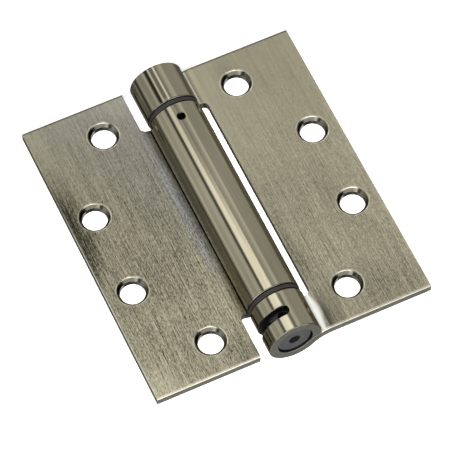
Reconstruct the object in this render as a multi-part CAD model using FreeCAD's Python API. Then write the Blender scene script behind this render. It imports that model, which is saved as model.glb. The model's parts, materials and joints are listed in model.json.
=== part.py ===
import FreeCAD, Part
import math
import os

# A single-acting steel spring hinge for a door, 4 1/2 in high and 4 in wide when open flat.
#
# Frame: Z runs along the barrel towards the end that is adjusted, -Y is the countersunk side
# of the leaves, and the origin is on the barrel's axis at mid height. The leaf on +X carries
# the long middle knuckle with the spring in it; the leaf on -X carries the two end knuckles.
# All lengths are in millimetres and all angles in degrees. Angles named "from the front"
# are measured from -Y and grow towards +X.

# Leaves
HEIGHT = 114.3
OPEN_WIDTH = 101.6
GAUGE = 3.4
FACE_Y = 0.8  # the countersunk face lies this far behind the barrel's axis
EDGE_SOFTENING = 0.3  # radius on the outline and on the knuckles' ends

# Barrel, rolled from the leaves
KNUCKLE_R = 9.7
BORE_R = KNUCKLE_R - GAUGE
BEND_R = 12.0  # centreline radius of the bend between leaf and knuckle
SEAM_GAP = 0.3  # where the curl's end closes against its own leaf
MIDDLE_KNUCKLE_HALF = 39.9
END_KNUCKLE_START = 42.1
NOTCH_X = 12.8  # inner edge of the leaves beside the other leaf's knuckles
NOTCH_CORNER_R = 2.0

# Screw holes: two rows on each leaf, each symmetric about mid height
SCREW_HOLE_R = 4.4
COUNTERSINK_R = 5.6
COUNTERSINK_ANGLE = 82.0
RIM_SOFTENING = 0.25
HOLE_ROWS = ((25.4, 44.45), (41.275, 15.875))  # distance from the axis, distance from mid height

# Adjusting slot in the knuckle on +Z
SLOT_Z = 49.5
SLOT_WIDTH = 3.5
SLOT_FROM = 4.0  # centre of the first round end, from the front
SLOT_TO = 122.0
SLOT_SOFTENING = 0.25

# Bearings: flanged bushes
FLANGE_R = 9.5
FLANGE_THICKNESS = 2.0
SLEEVE_CLEARANCE = 0.02
UPPER_SLEEVE_LENGTH = 12.0
LOWER_SLEEVE_LENGTH = 10.0
BEARING_BORE_R = 4.05
SLEEVE_CHAMFER = 0.25
FLANGE_CHAMFER = 0.45

# Plugs that turn in the bearings and hold the spring's ends
STEM_R = 4.0
PLUG_CLEARANCE = 0.06
ADJUSTER_RECESS = 0.8
ADJUSTER_CHAMFER = 0.4
ADJUSTER_SHOULDER_GAP = 0.3
HEX_ACROSS_FLATS = 4.0
HEX_DEPTH = 5.0
PIN_HOLE_COUNT = 6
PIN_HOLE_R = 1.6
PIN_HOLE_DEPTH = 3.1
PIN_HOLE_FIRST = 12.0  # from the front
STUB_END = 21.0  # the slotted ends that hold the spring's tangs reach to this height
TANG_SLOT_END = 27.5
TANG_SLOT_WIDTH = 2.3
PIVOT_END = 51.8
ANCHOR_BODY_LENGTH = 12.0

# Cross pin that fixes the anchor plug in the middle knuckle
ANCHOR_PIN_Z = -34.3
ANCHOR_PIN_HOLE_R = 1.45
ANCHOR_PIN_R = 1.43
ANCHOR_PIN_BORE_R = 0.7
ANCHOR_PIN_FRONT = -7.0
ANCHOR_PIN_LENGTH = 12.5

# Torsion spring
WIRE_R = 1.05
COIL_R = 5.2  # to the wire's centre
COIL_TURNS = 23
COIL_HALF_LENGTH = 26.2
TANG_OUTER = 6.0
TANG_INNER = 3.4

# Cap that closes the knuckle on -Z
CAP_RECESS = 0.6
CAP_THICKNESS = 3.6
CAP_CROWN = 0.35

TOP = HEIGHT / 2
Z_AXIS = FreeCAD.Vector(0, 0, 1)
ORIGIN = FreeCAD.Vector(0, 0, 0)


def polar(radius, angle, centre=(0.0, 0.0)):
    """A point in the XY plane; the angle is counted from +X towards +Y."""
    a = math.radians(angle)
    return FreeCAD.Vector(centre[0] + radius * math.cos(a), centre[1] + radius * math.sin(a), 0)


def arc(radius, start, end, centre=(0.0, 0.0)):
    points = [polar(radius, a, centre) for a in (start, (start + end) / 2, end)]
    return Part.Arc(*points).toShape()


def turned(outline):
    """A turned solid from its half outline, given as (radius, z) points."""
    points = [FreeCAD.Vector(r, 0, z) for r, z in outline]
    face = Part.Face(Part.makePolygon(points + points[:1]))
    return face.revolve(ORIGIN, Z_AXIS, 360)


def upside_down(shape):
    """The same shape turned half round about X, so that its +Z end points to -Z."""
    turned_over = shape.copy()
    turned_over.rotate(ORIGIN, FreeCAD.Vector(1, 0, 0), 180)
    return turned_over


def seam_corner(radius, bend, seam_r):
    """Angle at which a circle round the barrel's axis meets the seam, on the barrel's front."""
    reach = math.hypot(*bend)
    cosine = (reach**2 + radius**2 - seam_r**2) / (2 * reach * radius)
    return math.degrees(math.atan2(bend[1], bend[0]) - math.acos(cosine))


def seam_face(inner, outer, bend):
    """The curl's end, hollowed along the bend that it closes against."""
    ends = [math.degrees(math.atan2(p.y - bend[1], p.x - bend[0])) for p in (inner, outer)]
    seam_r = math.hypot(inner.x - bend[0], inner.y - bend[1])
    return arc(seam_r, ends[0], ends[1], bend)


def rolled_leaf():
    """A full-height leaf on +X: flat strip, bend behind the axis, and curl round the barrel."""
    bend_y = FACE_Y + GAUGE / 2 + BEND_R
    bend_x = math.sqrt((KNUCKLE_R - GAUGE / 2 + BEND_R) ** 2 - bend_y**2)
    bend = (bend_x, bend_y)
    tangent = math.degrees(math.atan2(bend_y, bend_x))
    seam_r = BEND_R + GAUGE / 2 + SEAM_GAP
    inner_end = 360 + seam_corner(BORE_R, bend, seam_r)
    outer_end = 360 + seam_corner(KNUCKLE_R, bend, seam_r)
    edge_x = OPEN_WIDTH / 2
    back_y = FACE_Y + GAUGE
    front_bend, back_bend = BEND_R + GAUGE / 2, BEND_R - GAUGE / 2
    edges = [
        Part.makeLine((edge_x, FACE_Y, 0), (bend_x, FACE_Y, 0)),
        arc(front_bend, 270, 180 + tangent, bend),
        arc(BORE_R, tangent, inner_end),
        seam_face(polar(BORE_R, inner_end), polar(KNUCKLE_R, outer_end), bend),
        arc(KNUCKLE_R, outer_end, tangent),
        arc(back_bend, 180 + tangent, 270, bend),
        Part.makeLine((bend_x, back_y, 0), (edge_x, back_y, 0)),
        Part.makeLine((edge_x, back_y, 0), (edge_x, FACE_Y, 0)),
    ]
    strip = Part.Face(Part.Wire(edges)).extrude(FreeCAD.Vector(0, 0, HEIGHT))
    strip.translate(FreeCAD.Vector(0, 0, -TOP))
    return strip


def notch(z0, z1, rounded):
    """Room for the other leaf's knuckle, with round corners at the heights in rounded."""
    reach = 2 * KNUCKLE_R
    block = Part.makeBox(
        NOTCH_X + reach, 2 * reach, z1 - z0, FreeCAD.Vector(-reach, -reach, z0)
    )
    corners = [
        e
        for e in block.Edges
        if any(
            all(abs(v.X - NOTCH_X) < 1e-6 and abs(v.Z - z) < 1e-6 for v in e.Vertexes)
            for z in rounded
        )
    ]
    return block.makeFillet(NOTCH_CORNER_R, corners)


def screw_holes():
    """Four countersunk holes through the leaf on +X."""
    depth = (COUNTERSINK_R - SCREW_HOLE_R) / math.tan(math.radians(COUNTERSINK_ANGLE / 2))
    backwards = FreeCAD.Vector(0, 1, 0)
    holes = []
    for x, half_spacing in HOLE_ROWS:
        for z in (-half_spacing, half_spacing):
            mouth = FreeCAD.Vector(x, FACE_Y, z)
            holes.append(Part.makeCone(COUNTERSINK_R, SCREW_HOLE_R, depth, mouth, backwards))
            holes.append(Part.makeCylinder(SCREW_HOLE_R, GAUGE + 1, mouth, backwards))
    return holes


def softened(shape, radius, chosen):
    """Rounds the edges that chosen picks, and those that run on smoothly from them."""
    return shape.makeFillet(radius, [e for e in shape.Edges if chosen(e)])


def on_outline(edge):
    """The straight edges of the leaf's ends and outer side, on both faces and through them."""
    box = edge.BoundBox
    faces = (FACE_Y, FACE_Y + GAUGE)
    flat_face = box.YLength < 1e-6 and min(abs(box.YMin - y) for y in faces) < 1e-6
    at_leaf_end = box.ZLength < 1e-6 and abs(abs(box.ZMin) - TOP) < 1e-6
    outer_side = box.XLength < 1e-6 and abs(abs(box.XMin) - OPEN_WIDTH / 2) < 1e-6
    if flat_face and edge.Curve.TypeId == "Part::GeomLine":
        return at_leaf_end or outer_side
    return at_leaf_end and outer_side


def on_inner_knuckle_end(edge):
    """The outer round edges of the knuckle ends that face another knuckle."""
    if edge.Curve.TypeId != "Part::GeomCircle":
        return False
    centre = edge.Curve.Center
    on_axis = math.hypot(centre.x, centre.y) < 1e-6 and edge.BoundBox.ZLength < 1e-6
    return on_axis and abs(edge.Curve.Radius - KNUCKLE_R) < 1e-6 and abs(centre.z) < TOP - 1


def on_countersink_rim(edge):
    if edge.Curve.TypeId != "Part::GeomCircle":
        return False
    return edge.BoundBox.YLength < 1e-6 and abs(edge.Curve.Radius - COUNTERSINK_R) < 1e-6


def on_barrel_opening(edge):
    """The outer rims of the adjusting slot and of the anchor pin's hole."""
    outside = all(abs(math.hypot(v.X, v.Y) - KNUCKLE_R) < 1e-3 for v in edge.Vertexes)
    middle = edge.valueAt((edge.FirstParameter + edge.LastParameter) / 2)
    z_from = min(abs(middle.z - SLOT_Z), abs(middle.z - ANCHOR_PIN_Z))
    on_wall = abs(math.hypot(middle.x, middle.y) - KNUCKLE_R) < 1e-3
    return outside and on_wall and z_from < SLOT_WIDTH


def eased(leaf):
    """Takes the sharpness off a leaf's outline, knuckles and holes."""
    leaf = softened(leaf, SLOT_SOFTENING, on_barrel_opening)
    leaf = softened(leaf, RIM_SOFTENING, on_countersink_rim)
    leaf = softened(leaf, EDGE_SOFTENING, on_inner_knuckle_end)
    return softened(leaf, EDGE_SOFTENING, on_outline)


def radial_cylinder(radius, r0, r1, from_front, z):
    """A round bar along a radius, at an angle from the front."""
    a = math.radians(from_front)
    outwards = FreeCAD.Vector(math.sin(a), -math.cos(a), 0)
    return Part.makeCylinder(radius, r1 - r0, outwards * r0 + Z_AXIS * z, outwards)


def adjusting_slot():
    """The slot round the knuckle through which the spring is held wound."""
    r0, r1 = BORE_R - 2, KNUCKLE_R + 2
    corners = [
        FreeCAD.Vector(r, 0, SLOT_Z + s * SLOT_WIDTH / 2)
        for r, s in ((r0, -1), (r1, -1), (r1, 1), (r0, 1))
    ]
    face = Part.Face(Part.makePolygon(corners + corners[:1]))
    face.rotate(ORIGIN, Z_AXIS, SLOT_FROM - 90)
    band = face.revolve(ORIGIN, Z_AXIS, SLOT_TO - SLOT_FROM)
    ends = [
        radial_cylinder(SLOT_WIDTH / 2, r0, r1, a, SLOT_Z) for a in (SLOT_FROM, SLOT_TO)
    ]
    return band.fuse(ends)


def barrel_leaf():
    """The leaf on +X, whose long middle knuckle holds the spring."""
    cuts = screw_holes()
    cuts.append(notch(MIDDLE_KNUCKLE_HALF, TOP + 1, [MIDDLE_KNUCKLE_HALF]))
    cuts.append(notch(-TOP - 1, -MIDDLE_KNUCKLE_HALF, [-MIDDLE_KNUCKLE_HALF]))
    cuts.append(
        radial_cylinder(ANCHOR_PIN_HOLE_R, BORE_R - 2, KNUCKLE_R + 1, 0, ANCHOR_PIN_Z)
    )
    return eased(rolled_leaf().cut(cuts))


def knuckle_leaf():
    """The leaf on -X, with one knuckle at each end and the adjusting slot in the one on +Z."""
    cuts = screw_holes()
    cuts.append(
        notch(-END_KNUCKLE_START, END_KNUCKLE_START, [-END_KNUCKLE_START, END_KNUCKLE_START])
    )
    leaf = rolled_leaf().cut(cuts).mirror(ORIGIN, FreeCAD.Vector(1, 0, 0))
    return eased(leaf.cut(adjusting_slot()))


def bearing(flange_z, sleeve_length):
    """A flanged bush: the flange lies on flange_z and the sleeve goes down from it."""
    sleeve_r = BORE_R - SLEEVE_CLEARANCE
    top = flange_z + FLANGE_THICKNESS
    bottom = flange_z - sleeve_length
    return turned(
        [
            (BEARING_BORE_R, bottom),
            (sleeve_r - SLEEVE_CHAMFER, bottom),
            (sleeve_r, bottom + SLEEVE_CHAMFER),
            (sleeve_r, flange_z),
            (FLANGE_R - FLANGE_CHAMFER, flange_z),
            (FLANGE_R, flange_z + FLANGE_CHAMFER),
            (FLANGE_R, top - FLANGE_CHAMFER),
            (FLANGE_R - FLANGE_CHAMFER, top),
            (BEARING_BORE_R, top),
        ]
    )


def tang_slot():
    """Room across a plug's slotted end for the spring's tang, on the +Z side."""
    return Part.makeBox(
        4 * STEM_R,
        TANG_SLOT_WIDTH,
        TANG_SLOT_END - STUB_END + 1,
        FreeCAD.Vector(-2 * STEM_R, -TANG_SLOT_WIDTH / 2, STUB_END - 1),
    )


def adjusting_plug():
    """Turned by a hex key to wind the spring, and held by a pin in one of its radial holes."""
    head_r = BORE_R - PLUG_CLEARANCE
    face_z = TOP - ADJUSTER_RECESS
    shoulder_z = END_KNUCKLE_START + ADJUSTER_SHOULDER_GAP
    plug = turned(
        [
            (0, STUB_END),
            (STEM_R, STUB_END),
            (STEM_R, shoulder_z),
            (head_r, shoulder_z),
            (head_r, face_z - ADJUSTER_CHAMFER),
            (head_r - ADJUSTER_CHAMFER, face_z),
            (0, face_z),
        ]
    )
    corner_r = HEX_ACROSS_FLATS / math.sqrt(3)
    hexagon = [polar(corner_r, 60 * i) for i in range(6)]
    socket = Part.Face(Part.makePolygon(hexagon + hexagon[:1])).extrude(Z_AXIS * HEX_DEPTH)
    socket.translate(Z_AXIS * (face_z - HEX_DEPTH))
    pitch = 360 / PIN_HOLE_COUNT
    pin_holes = [
        radial_cylinder(
            PIN_HOLE_R, head_r - PIN_HOLE_DEPTH, head_r + 1, PIN_HOLE_FIRST + i * pitch, SLOT_Z
        )
        for i in range(PIN_HOLE_COUNT)
    ]
    return plug.cut([socket, tang_slot()] + pin_holes)


def anchor_plug():
    """Fixed in the middle knuckle: holds the spring's other end and is the pivot on -Z."""
    body_r = BORE_R - SLEEVE_CLEARANCE
    plug = turned(
        [
            (0, -PIVOT_END),
            (STEM_R, -PIVOT_END),
            (STEM_R, -MIDDLE_KNUCKLE_HALF),
            (body_r, -MIDDLE_KNUCKLE_HALF),
            (body_r, ANCHOR_BODY_LENGTH - MIDDLE_KNUCKLE_HALF),
            (STEM_R, ANCHOR_BODY_LENGTH - MIDDLE_KNUCKLE_HALF),
            (STEM_R, -STUB_END),
            (0, -STUB_END),
        ]
    )
    pin_hole = radial_cylinder(
        ANCHOR_PIN_HOLE_R,
        -ANCHOR_PIN_FRONT - ANCHOR_PIN_LENGTH,
        BORE_R + 1,
        0,
        ANCHOR_PIN_Z,
    )
    return plug.cut([upside_down(tang_slot()), pin_hole])


def anchor_pin():
    """A tubular pin from the knuckle's front wall through the anchor plug."""
    inner = -ANCHOR_PIN_FRONT - ANCHOR_PIN_LENGTH
    outer = -ANCHOR_PIN_FRONT
    tube = radial_cylinder(ANCHOR_PIN_R, inner, outer, 0, ANCHOR_PIN_Z)
    return tube.cut(radial_cylinder(ANCHOR_PIN_BORE_R, inner - 1, outer + 1, 0, ANCHOR_PIN_Z))


def torsion_spring():
    """Left-hand coil, so that winding it closes the coils, with a tang across each end."""
    length = 2 * COIL_HALF_LENGTH
    path = Part.Wire(Part.makeHelix(length / COIL_TURNS, length, COIL_R, 0, True))
    section = Part.Wire(
        Part.makeCircle(WIRE_R, FreeCAD.Vector(COIL_R, 0, 0), FreeCAD.Vector(0, 1, 0))
    )
    coil = path.makePipeShell([section], True, True)
    coil.translate(Z_AXIS * -COIL_HALF_LENGTH)
    tangs = [
        Part.makeCylinder(
            WIRE_R,
            TANG_OUTER + TANG_INNER,
            FreeCAD.Vector(-TANG_INNER, 0, z),
            FreeCAD.Vector(1, 0, 0),
        )
        for z in (-COIL_HALF_LENGTH, COIL_HALF_LENGTH)
    ]
    return coil.fuse(tangs)


def end_cap():
    """A slightly crowned disc that closes the knuckle on -Z."""
    cap_r = BORE_R - SLEEVE_CLEARANCE
    outer_z = -TOP + CAP_RECESS
    return turned(
        [
            (0, outer_z + CAP_THICKNESS),
            (cap_r, outer_z + CAP_THICKNESS),
            (cap_r, outer_z + CAP_CROWN),
            (cap_r - 2 * CAP_CROWN, outer_z),
            (0, outer_z),
        ]
    )


NODES = {
    "barrel_leaf": barrel_leaf,
    "knuckle_leaf": knuckle_leaf,
    "upper_bearing": lambda: bearing(MIDDLE_KNUCKLE_HALF, UPPER_SLEEVE_LENGTH),
    "lower_bearing": lambda: bearing(-END_KNUCKLE_START, LOWER_SLEEVE_LENGTH),
    "torsion_spring": torsion_spring,
    "adjusting_plug": adjusting_plug,
    "anchor_plug": anchor_plug,
    "anchor_pin": anchor_pin,
    "end_cap": end_cap,
}

os.makedirs("parts", exist_ok=True)
for name, make in NODES.items():
    solid = make()
    print(name, solid.ShapeType, len(solid.Solids), solid.isValid(), round(solid.Volume, 1))
    solid.exportStep(f"parts/{name}.step")
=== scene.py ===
import json
import math

import bpy
from mathutils import Matrix, Vector


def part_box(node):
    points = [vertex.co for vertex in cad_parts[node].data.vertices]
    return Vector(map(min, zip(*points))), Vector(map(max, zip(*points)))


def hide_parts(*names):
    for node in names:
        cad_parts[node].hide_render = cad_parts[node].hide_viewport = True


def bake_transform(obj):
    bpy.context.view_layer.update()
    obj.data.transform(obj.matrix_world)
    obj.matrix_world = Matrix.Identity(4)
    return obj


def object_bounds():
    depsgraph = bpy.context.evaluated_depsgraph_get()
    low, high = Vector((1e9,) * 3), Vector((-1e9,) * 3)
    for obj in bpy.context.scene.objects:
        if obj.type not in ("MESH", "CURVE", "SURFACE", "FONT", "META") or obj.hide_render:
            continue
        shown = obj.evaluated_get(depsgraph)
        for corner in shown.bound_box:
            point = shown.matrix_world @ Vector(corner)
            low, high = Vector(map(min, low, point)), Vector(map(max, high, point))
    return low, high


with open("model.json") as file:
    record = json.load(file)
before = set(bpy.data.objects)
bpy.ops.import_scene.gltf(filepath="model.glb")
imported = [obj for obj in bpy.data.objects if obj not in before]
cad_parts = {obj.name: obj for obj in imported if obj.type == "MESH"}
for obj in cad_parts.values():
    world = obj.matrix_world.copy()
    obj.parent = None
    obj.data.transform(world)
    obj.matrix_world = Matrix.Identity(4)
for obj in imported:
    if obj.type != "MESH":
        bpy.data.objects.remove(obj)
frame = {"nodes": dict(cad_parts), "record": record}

# A spring hinge in antique nickel, standing on the end of its barrel in a white studio.
# Everything is in metres in the part's own frame; materials count their pattern in millimetres.

CAD_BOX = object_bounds()
MM = 0.001

# ---------------------------------------------------------------- places taken from the frame

LEAF_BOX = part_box("barrel_leaf")
HALF_HEIGHT = LEAF_BOX[1].z / MM
HALF_WIDTH = LEAF_BOX[1].x / MM
BARREL_R = -LEAF_BOX[0].y / MM
FLANGE_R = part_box("upper_bearing")[1].x / MM
KNUCKLE_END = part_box("upper_bearing")[1].z / MM  # where the knuckle on +Z begins
MOUNTS = {m["name"]: m for m in frame["record"]["mounts"]}


def hole_row(mount_name):
    """Distance of a row of screw holes from the axis, and of its holes from mid height, in mm."""
    mount = MOUNTS[mount_name]
    return abs(mount["pos_m"][0]) / MM, mount["dims"]["spacing_y_mm"] / 2


HOLE_ROWS = [hole_row("barrel_leaf_inner_holes"), hole_row("barrel_leaf_outer_holes")]
BACK_Y = MOUNTS["barrel_leaf_back"]["pos_m"][1] / MM
GAUGE = 3.4
FACE_Y = BACK_Y - GAUGE
COUNTERSINK_R = 5.6


# ---------------------------------------------------------------- material nodes


class Surface:
    """A material with one Principled shader, whose inputs are worked out by small node sums."""

    def __init__(self, name):
        self.material = bpy.data.materials.new(name)
        self.material.use_nodes = True
        self.tree = self.material.node_tree
        self.tree.nodes.clear()
        output = self.tree.nodes.new("ShaderNodeOutputMaterial")
        self.shader = self.tree.nodes.new("ShaderNodeBsdfPrincipled")
        self.tree.links.new(self.shader.outputs["BSDF"], output.inputs["Surface"])
        coordinates = self.tree.nodes.new("ShaderNodeTexCoord")
        self.normal = coordinates.outputs["Normal"]
        self.place = self.vector("SCALE", coordinates.outputs["Object"], scale=1 / MM)
        self.x, self.y, self.z = self.split(self.place)

    def set(self, **inputs):
        for name, value in inputs.items():
            self.join(value, self.shader.inputs[name.replace("_", " ").title().replace("Ior", "IOR")])

    def join(self, value, socket):
        if isinstance(value, bpy.types.NodeSocket):
            self.tree.links.new(value, socket)
        else:
            socket.default_value = value

    def node(self, kind, inputs, **settings):
        node = self.tree.nodes.new(kind)
        for name, value in settings.items():
            setattr(node, name, value)
        for key, value in inputs.items():
            self.join(value, node.inputs[key])
        return node

    def math(self, operation, *values, clamp=False):
        node = self.node("ShaderNodeMath", dict(enumerate(values)), operation=operation)
        node.use_clamp = clamp
        return node.outputs[0]

    def vector(self, operation, *values, scale=None):
        inputs = dict(enumerate(values))
        if scale is not None:
            inputs["Scale"] = scale
        node = self.node("ShaderNodeVectorMath", inputs, operation=operation)
        return node.outputs["Value" if operation in ("LENGTH", "DOT_PRODUCT") else "Vector"]

    def split(self, vector):
        return self.node("ShaderNodeSeparateXYZ", {0: vector}).outputs

    def point(self, x, y, z):
        return self.node("ShaderNodeCombineXYZ", {0: x, 1: y, 2: z}).outputs[0]

    def step(self, value, start, end, low=0.0, high=1.0):
        """Goes smoothly from low to high as value goes from start to end."""
        inputs = {"Value": value, "From Min": start, "From Max": end, "To Min": low, "To Max": high}
        return self.node("ShaderNodeMapRange", inputs, interpolation_type="SMOOTHSTEP").outputs[0]

    def noise(self, scale, stretch=(1, 1, 1), detail=2.0, roughness=0.5, offset=(0, 0, 0)):
        """Noise of about scale features per millimetre, drawn out along an axis by stretch."""
        drawn = self.vector("MULTIPLY", self.place, [1 / s for s in stretch])
        moved = self.vector("ADD", drawn, offset)
        inputs = {"Vector": moved, "Scale": scale, "Detail": detail, "Roughness": roughness}
        return self.node("ShaderNodeTexNoise", inputs).outputs["Fac"]

    def mix(self, factor, a, b, blend="MIX"):
        node = self.node("ShaderNodeMix", {0: factor}, data_type="RGBA", blend_type=blend)
        self.join(a if isinstance(a, bpy.types.NodeSocket) else (*a, 1), node.inputs[6])
        self.join(b if isinstance(b, bpy.types.NodeSocket) else (*b, 1), node.inputs[7])
        return node.outputs[2]

    def weigh(self, start, *terms):
        """start plus each (factor, value) pair's product, where a value centres on one half."""
        total = start
        for factor, value in terms:
            centred = self.math("MULTIPLY_ADD", value, factor, -0.5 * factor)
            total = self.math("ADD", total, centred)
        return total

    def bump(self, height, distance, strength=1.0):
        inputs = {"Height": height, "Distance": distance * MM, "Strength": strength}
        self.join(self.node("ShaderNodeBump", inputs).outputs[0], self.shader.inputs["Normal"])

    def ellipse(self, centre_x, centre_z, half_x, half_z):
        """1 in the middle of a soft ellipse on the leaves, and 0 outside it."""
        dx = self.math("DIVIDE", self.math("SUBTRACT", self.x, centre_x), half_x)
        dz = self.math("DIVIDE", self.math("SUBTRACT", self.z, centre_z), half_z)
        return self.step(self.math("SQRT", self.math("ADD", self.math("MULTIPLY", dx, dx),
                                                     self.math("MULTIPLY", dz, dz))), 1, 0)


def from_axis(surface):
    """Distance from the barrel's axis, in mm."""
    flat = surface.point(surface.x, surface.y, 0)
    return surface.vector("LENGTH", flat)


def round_barrel(surface):
    """Angle round the barrel in degrees, from the front and growing towards +X."""
    backwards = surface.math("MULTIPLY", surface.y, -1)
    return surface.math("MULTIPLY", surface.math("ARCTAN2", surface.x, backwards), 180 / math.pi)


def to_hole(surface):
    """Distance from the nearest screw hole's axis, in mm."""
    distances = []
    for x, z in HOLE_ROWS:
        dx = surface.math("SUBTRACT", surface.math("ABSOLUTE", surface.x), x)
        dz = surface.math("SUBTRACT", surface.math("ABSOLUTE", surface.z), z)
        distances.append(surface.vector("LENGTH", surface.point(dx, dz, 0)))
    return surface.math("MINIMUM", *distances)


def brushed_tangent(surface):
    """Across the grain: square to the barrel's direction and to the surface."""
    geometry = surface.node("ShaderNodeNewGeometry", {})
    across = surface.vector("CROSS_PRODUCT", (0, 0, 1), geometry.outputs["Normal"])
    return surface.vector("ADD", across, (0.001, 0.0005, 0))


def antique_nickel(name, side, painted_reflection_patches, painted_reflection_lines):
    """Brushed leaves and a polished barrel under one coat of darkened nickel.

    side is the leaf's side of the barrel, 1 or -1. patina holds soft ellipses (x, z, half width,
    half height, amount) of painted reflection: the leaves are painted darker there, or lighter where
    amount is negative. streaks holds painted dark lines along the barrel, painted reflection beside
    and across its highlights: (angle, half width, z where it starts, z where it is full, amount).
    """
    s = Surface(name)
    radius = from_axis(s)
    angle = round_barrel(s)
    on_barrel = s.step(radius, BARREL_R + 0.25, BARREL_R + 0.1)
    off_barrel = s.math("SUBTRACT", 1, on_barrel)
    hole = to_hole(s)
    facing = s.split(s.normal)
    not_back = s.step(facing[1], 0.5, 0.1)
    cut_end = s.step(s.math("ABSOLUTE", facing[2]), 0.9, 0.98)
    corner = s.math("MULTIPLY", s.step(s.math("ABSOLUTE", facing[1]), 0.4, 0.2),
                    s.step(s.math("ABSOLUTE", facing[2]), 0.15, 0.3))
    cut_side = s.math("MAXIMUM", s.step(s.math("ABSOLUTE", facing[0]), 0.9, 0.98), corner)
    cut_side = s.math("MULTIPLY", cut_side, off_barrel)

    long_scratches = s.noise(3.3, (1, 1, 45), detail=2, roughness=0.7)
    short_scratches = s.noise(3.5, (1, 1, 4), detail=2, roughness=0.7, offset=(1, 4, 8))
    fine = s.weigh(0.5, (0.55, long_scratches), (0.75, short_scratches))
    lines = s.noise(0.9, (1, 1, 45), detail=2, offset=(7, 3, 0))
    bands = s.noise(0.16, (1, 1, 9), detail=2, offset=(2, 5, 1))
    clouds = s.noise(0.035, detail=3, roughness=0.6, offset=(4, 0, 9))
    specks = s.noise(1.3, (1, 1, 3), detail=2, offset=(0, 8, 3))

    # The brush bit deeper towards the +Z end, and less into the leaf on the -X side.
    lightest, deepest = (0.30, 0.86) if side > 0 else (0.10, 0.62)
    bite = s.step(s.z, -60, 35, lightest, deepest)
    bitten = s.math("MULTIPLY_ADD", s.math("SUBTRACT", fine, 0.5), bite, 0.5)
    grain = s.weigh(0.5, (1.0, bitten), (0.5, lines))
    brushed = s.weigh(0.45, (3.3, bitten), (0.16, lines), (0.15, bands), (0.25, clouds), (0.08, specks))
    buffed = s.weigh(0.50, (0.3, lines), (0.25, bands), (0.25, clouds))
    tone = s.node("ShaderNodeMix", {0: on_barrel, 2: brushed, 3: buffed}).outputs[0]
    # Painted reflection: soft patches where the leaves are painted darker or lighter.
    for x, z, half_x, half_z, amount in painted_reflection_patches:
        shade = s.math("MULTIPLY", s.ellipse(x, z, half_x, half_z), off_barrel)
        tone = s.math("SUBTRACT", tone, s.math("MULTIPLY", shade, amount))
    tone = s.math("MULTIPLY_ADD", tone, 0.85, 0.15, clamp=True)
    colour = s.mix(tone, (0.03, 0.027, 0.018), (0.593, 0.557, 0.412))
    # Painted reflection: near-black lines painted along the barrel, beside and across its highlight.
    for middle, half_width, z_start, z_full, amount in painted_reflection_lines:
        away = s.math("ABSOLUTE", s.math("SUBTRACT", angle, middle))
        line = s.math("MULTIPLY", s.step(away, half_width, 0.4 * half_width), on_barrel)
        line = s.math("MULTIPLY", line, s.step(s.z, z_start, z_full))
        colour = s.mix(s.math("MULTIPLY", line, amount), colour, (0.02, 0.018, 0.015))

    # Painted highlight: the bend beside the +Z knuckle is painted bright, and a darker band lies further
    # out.
    reach = s.math("SUBTRACT", s.math("ABSOLUTE", s.x), BARREL_R)
    if side < 0:
        width = s.step(s.z, KNUCKLE_END - 2, KNUCKLE_END + 7, 2.0, 3.5)
        width = s.math("SUBTRACT", width, s.step(s.z, KNUCKLE_END + 6, HALF_HEIGHT, 0, 1.3))
        share = s.math("DIVIDE", reach, width)
        beside = s.math("MULTIPLY", off_barrel, s.step(s.z, -1, 1))
        beside = s.math("MULTIPLY", beside, s.step(facing[1], 0.1, -0.1))
        darker_band = s.math("MULTIPLY", s.step(reach, 12, 4.5),
                      s.step(s.z, KNUCKLE_END - 6, HALF_HEIGHT - 4))
        darker_band = s.math("MULTIPLY", darker_band, s.step(lines, 0.35, 0.62, 0.92, 0.45))
        colour = s.mix(s.math("MULTIPLY", darker_band, beside), colour, (0.065, 0.061, 0.05))
        bend = s.math("MULTIPLY", s.step(share, 1.2, 0.6), beside)
        colour = s.mix(s.math("MULTIPLY", bend, 0.95), colour, (0.66, 0.665, 0.66))
        # Painted shade on the leaf beside the -Z knuckle, with a thin painted highlight along the
        # knuckle.
        far = s.math("MULTIPLY", s.step(s.z, -41, -43), off_barrel)
        shade = s.math("MULTIPLY", s.step(reach, 2.9, 1.5), far)
        colour = s.mix(s.math("MULTIPLY", shade, 0.7), colour, (0.08, 0.075, 0.06))
        glint = s.math("MULTIPLY", s.step(reach, 1.3, 0.9), s.step(reach, 0.3, 0.55))
        glint = s.math("MULTIPLY", glint, far)
        colour = s.mix(s.math("MULTIPLY", glint, not_back), colour, (0.40, 0.39, 0.35))
    else:
        # Painted sheen: the leaf is painted bluer towards -Z, and lighter and bluer still beside the
        # barrel.
        cool_sheen = s.step(s.math("MULTIPLY_ADD", s.z, 0.6, reach), 22, -14)
        cool_sheen = s.math("MULTIPLY", cool_sheen, off_barrel)
        colour = s.mix(cool_sheen, colour, s.mix(1.0, colour, (0.95, 0.99, 1.13), "MULTIPLY"))
        beside_barrel_sheen = s.math("MULTIPLY", s.step(reach, 6.5, 2.5), s.step(s.z, 32, 12))
        beside_barrel_sheen = s.math("MULTIPLY", beside_barrel_sheen, s.step(s.z, -38, -8, 0.35, 1))
        beside_barrel_sheen = s.math("MULTIPLY", beside_barrel_sheen, s.math("MULTIPLY", off_barrel, not_back))
        colour = s.mix(beside_barrel_sheen, colour, s.mix(1.0, colour, (1.15, 1.21, 1.5), "MULTIPLY"))
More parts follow.
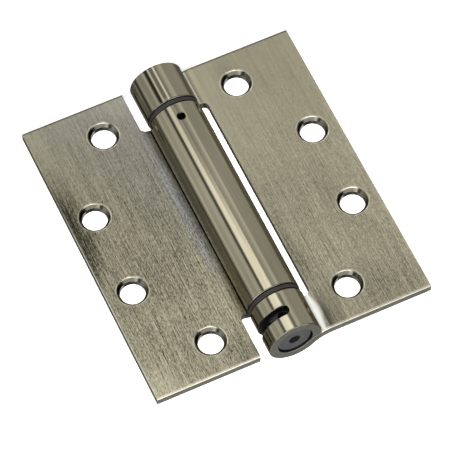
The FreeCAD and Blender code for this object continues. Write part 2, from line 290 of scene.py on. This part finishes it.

    # Partly wear, partly painted highlight: the rims of the countersinks, the +Z edges and the long
    # edges towards +Z are painted bright.
    rim = s.math("MULTIPLY", s.step(hole, COUNTERSINK_R - 0.3, COUNTERSINK_R - 0.1),
                 s.step(hole, COUNTERSINK_R + 0.45, COUNTERSINK_R + 0.1))
    rim = s.math("MULTIPLY", rim, not_back)
    edge = s.math("SUBTRACT", HALF_WIDTH, s.math("ABSOLUTE", s.x))
    end = s.math("SUBTRACT", HALF_HEIGHT, s.z)
    wear_and_highlight = s.step(end, 1.1, 0.2, 0, 1.0 if side > 0 else 0.7)
    edge_wear_and_highlight = s.math("MULTIPLY", s.step(edge, 0.6, 0.2, 0, 0.6), s.step(s.z, -32, -8, 0.15, 1))
    wear_and_highlight = s.math("MAXIMUM", wear_and_highlight, edge_wear_and_highlight)
    wear_and_highlight = s.math("MULTIPLY", wear_and_highlight, off_barrel)
    wear_and_highlight = s.math("MULTIPLY", wear_and_highlight, s.math("MULTIPLY_ADD", lines, 0.8, 0.5, clamp=True))
    wear_and_highlight = s.math("MAXIMUM", wear_and_highlight, s.math("MULTIPLY", rim, s.step(lines, 0.35, 0.65, 0.1, 0.6)))
    colour = s.mix(wear_and_highlight, colour, (0.84, 0.80, 0.66))

    # Painted shade: the coat is painted dark in the holes, the seam and the slot, on the arrises of the
    # knuckles and the -Z edge, in the crease beside the barrel and on the cut faces in the notches. The
    # holes also get painted light on the sides turned to +X and +Z; the cut sides are darker.
    # Painted shade on the arrises of the knuckle ends.
    arris = s.math("MULTIPLY", on_barrel, s.step(s.math("ABSOLUTE", facing[2]), 0.1, 0.4))
    colour = s.mix(s.math("MULTIPLY", arris, 0.6), colour, (0.05, 0.048, 0.045))
    # Painted shade along the -Z edge of the leaves.
    far_edge = s.step(s.math("ADD", HALF_HEIGHT, s.z), 0.9, 0.3)
    far_edge = s.math("MULTIPLY", far_edge, off_barrel)
    colour = s.mix(s.math("MULTIPLY", far_edge, 0.85), colour, (0.04, 0.037, 0.03))
    depth = s.step(s.y, FACE_Y + 0.2, FACE_Y + 0.5)
    in_hole = s.math("MULTIPLY", s.step(hole, COUNTERSINK_R + 0.1, COUNTERSINK_R - 0.1), depth)
    in_hole = s.math("MULTIPLY", in_hole, not_back)
    # Painted light and shade in the holes: each cone is painted darkest facing -X and lightest facing
    # +X, each wall lighter facing +Z.
    cone = s.mix(s.step(facing[0], -0.7, -0.1), (0.014, 0.013, 0.012), (0.058, 0.055, 0.048))
    cone = s.mix(s.step(facing[0], 0.3, 0.7), cone, (0.26, 0.25, 0.21))
    wall = s.mix(s.step(facing[2], 0.7, 0.95), (0.10, 0.095, 0.085), (0.46, 0.44, 0.39))
    hole_light_and_shade = s.mix(s.step(facing[1], -0.5, -0.1), cone, wall)
    colour = s.mix(s.math("MULTIPLY", in_hole, 0.95), colour, hole_light_and_shade)
    cut_side = s.math("SUBTRACT", cut_side, s.math("MAXIMUM", cut_end, in_hole), clamp=True)
    colour = s.mix(s.math("MULTIPLY", cut_side, 0.9), colour, (0.035, 0.033, 0.03))
    # Painted shade inside the barrel: the bore, the slot and the seam.
    inside = s.step(radius, BARREL_R - 0.1, BARREL_R - 0.3)
    colour = s.mix(s.math("MULTIPLY", inside, 0.9), colour, (0.055, 0.045, 0.048))
    # Painted shade in the crease beside the barrel on the +X leaf.
    crease = s.step(radius, BARREL_R + 0.55, BARREL_R + 0.3)
    crease = s.math("MULTIPLY", crease, off_barrel)
    if side > 0:
        colour = s.mix(s.math("MULTIPLY", crease, 0.8), colour, (0.045, 0.042, 0.036))
    colour = s.mix(s.math("MULTIPLY", cut_end, 0.92), colour,
                   s.mix(specks, (0.18, 0.183, 0.158), (0.37, 0.372, 0.325)))
    # Painted shade on the cut faces in the notches.
    in_notch = s.math("MULTIPLY", cut_end, s.step(end, 3, 5))
    colour = s.mix(s.math("MULTIPLY", in_notch, 0.75), colour, (0.04, 0.039, 0.038))

    rough = s.weigh(0.34, (0.3, fine), (0.1, clouds))
    polished = s.weigh(0.11, (0.08, lines), (0.05, clouds))
    rough = s.node("ShaderNodeMix", {0: on_barrel, 2: rough, 3: polished}).outputs[0]
    rough = s.node("ShaderNodeMix", {0: cut_end, 2: rough, 3: 0.5}).outputs[0]
    rough = s.node("ShaderNodeMix", {0: in_hole, 2: rough, 3: 0.2}).outputs[0]
    smoothed = s.math("MAXIMUM", on_barrel, s.math("MAXIMUM", cut_end, in_hole))
    height = s.math("MULTIPLY", grain, s.math("MULTIPLY_ADD", smoothed, -0.88, 1.0))

    s.set(base_color=colour, metallic=1.0, roughness=rough, anisotropic=0.5,
          specular_tint=(0.85, 0.84, 0.80, 1))
    s.join(brushed_tangent(s), s.shader.inputs["Tangent"])
    s.bump(height, 0.03)
    return s.material


def black_bearing():
    """Moulded black bush with a faint violet cast and rubbed edges."""
    s = Surface("black_bearing")
    grain = s.noise(3.0, detail=4)
    scuffs = s.noise(0.5, (1, 1, 0.3), detail=3, offset=(3, 1, 2))
    edge = s.step(from_axis(s), FLANGE_R - 0.35, FLANGE_R)
    tone = s.weigh(0.3, (0.4, grain), (0.5, scuffs))
    colour = s.mix(s.math("ADD", tone, 0, clamp=True), (0.009, 0.007, 0.007), (0.04, 0.03, 0.028))
    colour = s.mix(s.math("MULTIPLY", edge, 0.2), colour, (0.07, 0.06, 0.06))
    s.set(base_color=colour, metallic=0.0, roughness=s.weigh(0.42, (0.25, grain)),
          specular_ior_level=0.3)
    s.bump(grain, 0.02)
    return s.material


def dark_steel(name, low, high, metallic, roughness, wear=0.3):
    """Blackened or oiled steel: mottled, a little rubbed, with fine tooling marks."""
    s = Surface(name)
    fine = s.noise(4.0, detail=4, roughness=0.65)
    mottle = s.noise(0.6, detail=3, offset=(5, 2, 7))
    rings = s.noise(2.5, (6, 6, 0.5), detail=2, offset=(1, 6, 4))
    tone = s.weigh(0.5, (0.5, fine), (0.6, mottle), (0.3, rings))
    colour = s.mix(s.math("ADD", tone, 0, clamp=True), low, high)
    rubbed = s.math("MULTIPLY", s.step(mottle, 0.58, 0.7), wear)
    colour = s.mix(rubbed, colour, tuple(min(1.0, 2.2 * c) for c in high))
    s.set(base_color=colour, metallic=metallic, roughness=s.weigh(roughness, (0.2, fine)))
    s.bump(s.weigh(0.5, (0.6, fine), (0.5, rings)), 0.015)
    return s.material


def spring_wire():
    """Oiled music wire with drawing marks and thin brown oil in the lows."""
    s = Surface("spring_wire")
    marks = s.noise(5.0, (4, 4, 1), detail=3)
    oil = s.noise(0.35, detail=3, offset=(2, 9, 1))
    colour = s.mix(s.math("ADD", s.weigh(0.5, (0.7, marks), (0.6, oil)), 0, clamp=True),
                   (0.10, 0.085, 0.065), (0.38, 0.37, 0.35))
    s.set(base_color=colour, metallic=1.0, roughness=s.weigh(0.3, (0.25, marks)))
    s.bump(marks, 0.01)
    return s.material


def wound_spring():
    """A copy of the spring's own shape, put in place of the CAD spring, which is hidden.
    """
    spring = bpy.data.objects.new("wound_spring", frame["nodes"]["torsion_spring"].data.copy())
    bpy.context.scene.collection.objects.link(spring)
    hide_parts("torsion_spring")
    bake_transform(spring)


def dress(materials):
    for node_name, material in materials.items():
        mesh = frame["nodes"][node_name].data
        mesh.materials.clear()
        mesh.materials.append(material)


dress({
    "barrel_leaf": antique_nickel("barrel_leaf_nickel", 1, [
        (30, -14, 70, 80, 0.20),
        (55, -12, 15, 42, 0.66),
        (52, 58, 20, 20, -0.28),
        (28, 36, 22, 26, -0.08),
        (16, 53, 12, 14, 0.20),
        (16, -56, 16, 12, -0.15),
        (30, 40, 24, 16, 0.04),
    ], [
        (6.5, 6.5, 36, -24, 0.66),
        (15, 8, 20, -42, 0.25),
        (23, 4, 70, -20, 0.35),
        (54, 4, -200, -100, 0.30),
        (78, 10, -200, -100, 0.35),
    ]),
    "knuckle_leaf": antique_nickel("knuckle_leaf_nickel", -1, [
        (-34, 50, 20, 14, 0.12),
        (-14, 22, 6, 34, 0.16),
        (-54, -5, 12, 80, -0.16),
        (-24, -50, 8, 12, 0.14),
    ], [
        (3, 4, -40, -44, 0.25),
        (11.5, 6, -40, -44, 0.86),
        (18, 5, -40, -44, 0.35),
        (24, 5.5, -40, -44, 0.8),
        (40, 12, -40, -44, 0.25),
        (54, 5, -40, -44, 0.6),
        (92, 20, -200, -100, 0.65),
        (-1.5, 3.0, 42, 44, 0.5),
        (52, 5, 42, 44, 0.45),
        (64, 4, 48, 52, 0.3),
    ]),
    "upper_bearing": black_bearing(),
    "lower_bearing": black_bearing(),
    "torsion_spring": spring_wire(),
    "adjusting_plug": dark_steel("plug_phosphate", (0.05, 0.05, 0.055), (0.12, 0.12, 0.128), 0.6, 0.45),
    "anchor_plug": dark_steel("anchor_phosphate", (0.05, 0.05, 0.055), (0.12, 0.12, 0.128), 0.6, 0.45),
    "end_cap": dark_steel("cap_phosphate", (0.06, 0.06, 0.062), (0.14, 0.14, 0.145), 0.6, 0.42),
    "anchor_pin": dark_steel("pin_oxide", (0.012, 0.012, 0.012), (0.04, 0.04, 0.04), 0.8, 0.4),
})


wound_spring()


# ---------------------------------------------------------------- studio


def make_floor():
    """A wide pale floor under the standing hinge. It isn't mirrored in the polished metal,
    so that the barrel shows the softboxes."""
    half = 6.0
    z = CAD_BOX[0].z
    mesh = bpy.data.meshes.new("floor")
    mesh.from_pydata([(-half, -half, z), (half, -half, z), (half, half, z), (-half, half, z)],
                     [], [(0, 1, 2, 3)])
    floor = bpy.data.objects.new("floor", mesh)
    bpy.context.scene.collection.objects.link(floor)
    floor.visible_glossy = False
    s = Surface("floor_paper")
    fibre = s.noise(0.4, detail=3)
    s.set(base_color=s.mix(fibre, (0.93, 0.93, 0.93), (0.95, 0.95, 0.95)), roughness=0.9)
    s.set(emission_color=(1, 1, 1, 1), emission_strength=0.35)
    mesh.materials.append(s.material)


# Softboxes and gaps round the barrel, below eye level: azimuth of the middle, counted from -Y
# towards +X in degrees, half width, softness of the edge, and brightness added to the base.
RING_BASE = 0.18
RING_CARDS = (
    (-62, 40, 24, 0.46),
    (-20, 17, 8, 0.42),
    (10, 16, 6, 1.9),
    (46, 8, 6, 0.72),
    (68, 15, 8, 0.52),
    (82, 8, 6, 0.3),
    (107, 7, 6, 0.18),
    (180, 32, 16, 0.15),
)
RING_TOP = -19  # elevation at which the ring gives way to the band above it
BAND_BASE = 0.42
BAND_SHARE = 0.45  # of the ring's own brightness
BAND_TOP = 12
CEILING = 3.4
CEILING_FROM = 52  # degrees above the horizon
CEILING_DROP = (60, 34, 20, 19)  # azimuth, half width and softness where it hangs lower, and by how much
BACK_CARD = (180, 60, 30, 0.45)  # only in the band, as the ring's cards are given
WALL = 0.13


def make_studio():
    """A studio seen only in reflections: a ring of softboxes at hinge height, and a ceiling."""
    world = bpy.data.worlds.new("studio")
    bpy.context.scene.world = world
    world.use_nodes = True
    nodes, links = world.node_tree.nodes, world.node_tree.links
    nodes.clear()

    def node(kind, inputs, **settings):
        made = nodes.new(kind)
        for name, value in settings.items():
            setattr(made, name, value)
        for key, value in inputs.items():
            if isinstance(value, bpy.types.NodeSocket):
                links.new(value, made.inputs[key])
            else:
                made.inputs[key].default_value = value
        return made.outputs[0]

    def calc(operation, *values):
        return node("ShaderNodeMath", dict(enumerate(values)), operation=operation)

    def step(value, start, end, low, high):
        inputs = {"Value": value, "From Min": start, "From Max": end, "To Min": low, "To Max": high}
        return node("ShaderNodeMapRange", inputs, interpolation_type="SMOOTHSTEP")

    direction = nodes.new("ShaderNodeTexCoord").outputs["Generated"]
    parts = nodes.new("ShaderNodeSeparateXYZ")
    links.new(direction, parts.inputs[0])
    x, y, z = parts.outputs
    azimuth = calc("MULTIPLY", calc("ARCTAN2", x, calc("MULTIPLY", y, -1)), 180 / math.pi)
    elevation = calc("MULTIPLY", calc("ARCSINE", z), 180 / math.pi)

    def card(middle, half_width, softness, brightness):
        away = calc("ABSOLUTE", calc("WRAP", calc("SUBTRACT", azimuth, middle), 180, -180))
        return step(away, half_width + softness / 2, half_width - softness / 2, 0, brightness)

    ring = RING_BASE
    for sizes in RING_CARDS:
        ring = calc("ADD", ring, card(*sizes))
    band = calc("MULTIPLY_ADD", ring, BAND_SHARE, calc("ADD", BAND_BASE, card(*BACK_CARD)))
    above = step(elevation, RING_TOP - 3, RING_TOP + 3, 0, 1)
    low = calc("ADD", calc("MULTIPLY", ring, calc("SUBTRACT", 1, above)),
               calc("MULTIPLY", band, above))
    low = calc("MULTIPLY", low, step(elevation, BAND_TOP + 5, BAND_TOP - 5, 0, 1))
    wall = calc("MULTIPLY", WALL, step(elevation, BAND_TOP - 5, BAND_TOP + 5, 0, 1))
    risen = calc("ADD", elevation, card(*CEILING_DROP))
    ceiling = step(risen, CEILING_FROM - 6, CEILING_FROM + 6, 0, CEILING)
    total = calc("ADD", calc("ADD", low, wall), ceiling)

    background = nodes.new("ShaderNodeBackground")
    background.inputs["Color"].default_value = (1.0, 0.985, 0.95, 1)
    links.new(total, background.inputs["Strength"])
    backdrop = nodes.new("ShaderNodeBackground")
    backdrop.inputs["Strength"].default_value = 1.1
    path = nodes.new("ShaderNodeLightPath")
    mix = nodes.new("ShaderNodeMixShader")
    links.new(path.outputs["Is Camera Ray"], mix.inputs[0])
    links.new(background.outputs[0], mix.inputs[1])
    links.new(backdrop.outputs[0], mix.inputs[2])
    output = nodes.new("ShaderNodeOutputWorld")
    links.new(mix.outputs[0], output.inputs["Surface"])


def make_camera():
    """Looks down on the countersunk side from beyond the adjusting end, turned on its axis."""
    azimuth, elevation, roll = math.radians(12.995), math.radians(27.404), math.radians(151.744)
    distance = 1.12154
    aim = Vector((1.79, 2.96, 4.79)) * MM
    back = Vector((
        math.sin(azimuth) * math.cos(elevation),
        -math.cos(azimuth) * math.cos(elevation),
        math.sin(elevation),
    ))
    camera = bpy.data.objects.new("camera", bpy.data.cameras.new("camera"))
    bpy.context.scene.collection.objects.link(camera)
    upright = back.to_track_quat("Z", "Y").to_matrix().to_4x4()
    camera.matrix_world = Matrix.Translation(aim + back * distance) @ upright @ Matrix.Rotation(
        roll, 4, "Z")
    camera.data.lens = 262.5
    camera.data.sensor_width = 36
    camera.data.clip_start = 0.05
    camera.data.clip_end = 50
    bpy.context.scene.camera = camera


make_floor()
make_studio()
make_camera()
bpy.context.scene.view_settings.view_transform = "Standard"
